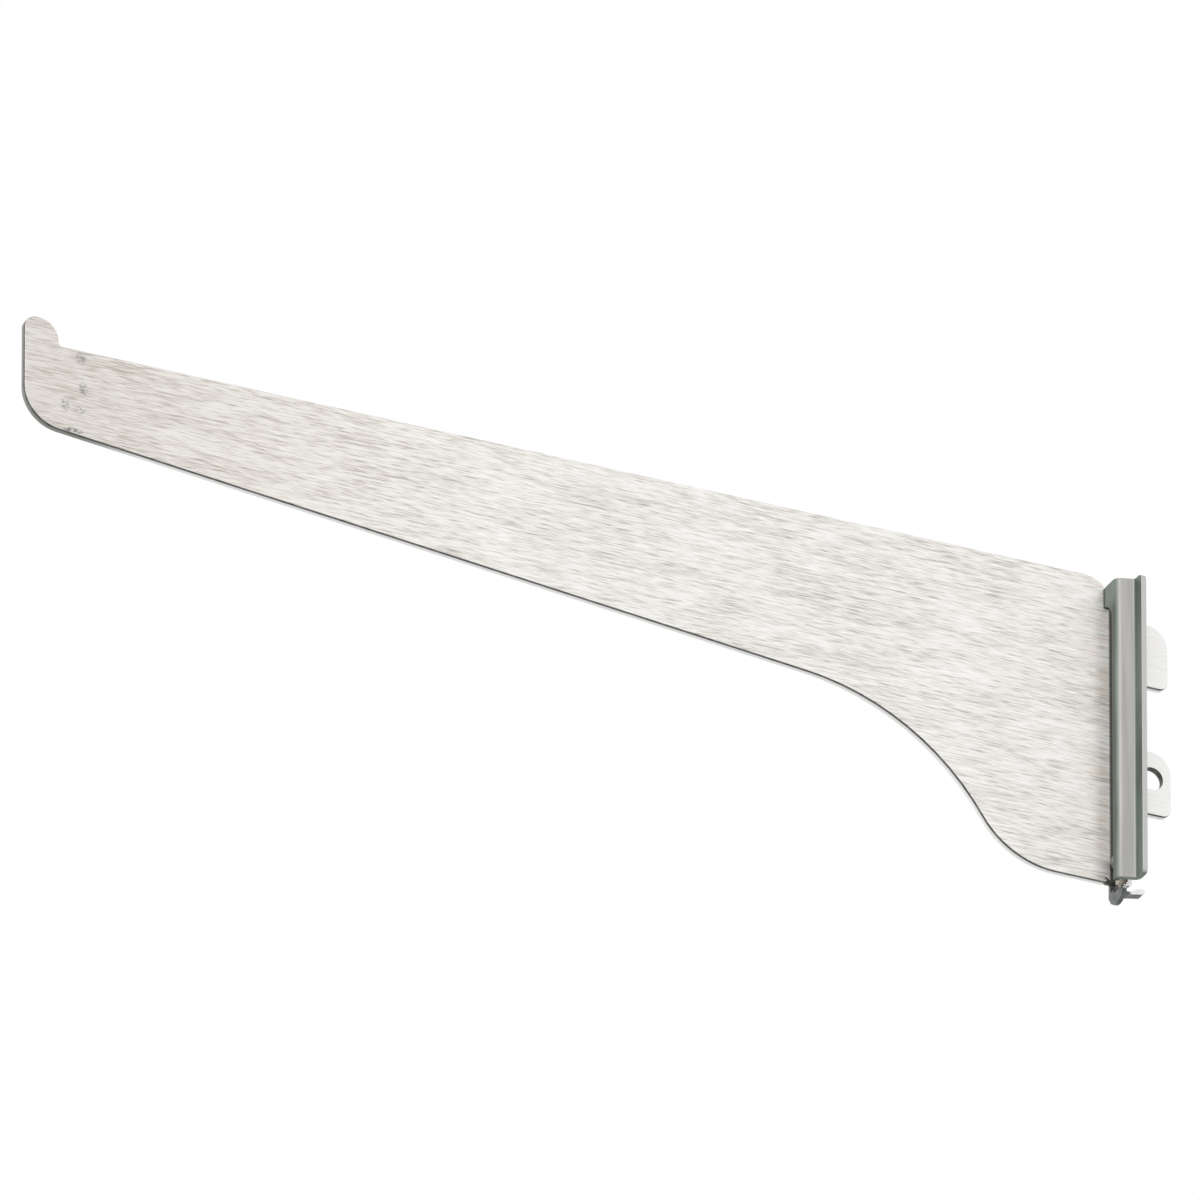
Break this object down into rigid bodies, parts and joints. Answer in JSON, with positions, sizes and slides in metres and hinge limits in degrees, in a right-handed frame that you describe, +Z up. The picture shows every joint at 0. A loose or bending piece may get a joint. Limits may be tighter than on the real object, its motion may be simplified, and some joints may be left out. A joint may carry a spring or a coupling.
{
  "type": "slotted shelf bracket",
  "caption": "Flat tapered steel shelf bracket blade with hooks for a slotted standard, a folded saddle that bears on it and a small lock lever at the heel.",
  "frame": {"origin": "on the standard's front face, in the blade's centre plane, at the height of the shelf edge", "axes": "+X into the wall, so the arm runs out along -X; +Z up; -Y is the side the picture shows"},
  "size_m": [0.2227, 0.0178, 0.0692],
  "materials": {
    "blade": "brushed zinc plate",
    "saddle": "smooth zinc plate",
    "lever": "dark plate",
    "cam": "matte nylon",
    "pin": "zinc plate"
  },
  "bodies": {
    "bracket": {"blade": "blade", "saddle": "saddle", "lever_pin": "pin"},
    "lever": {"lock_lever": "lever", "cam": "cam"}
  },
  "joints": [
    {"name": "lever_swing", "type": "hinge", "parent": "bracket", "child": "lever", "pos_m": [-0.0024, 0, -0.0576], "axis": [0, 1, 0], "range_deg": [0, 40]}
  ]
}
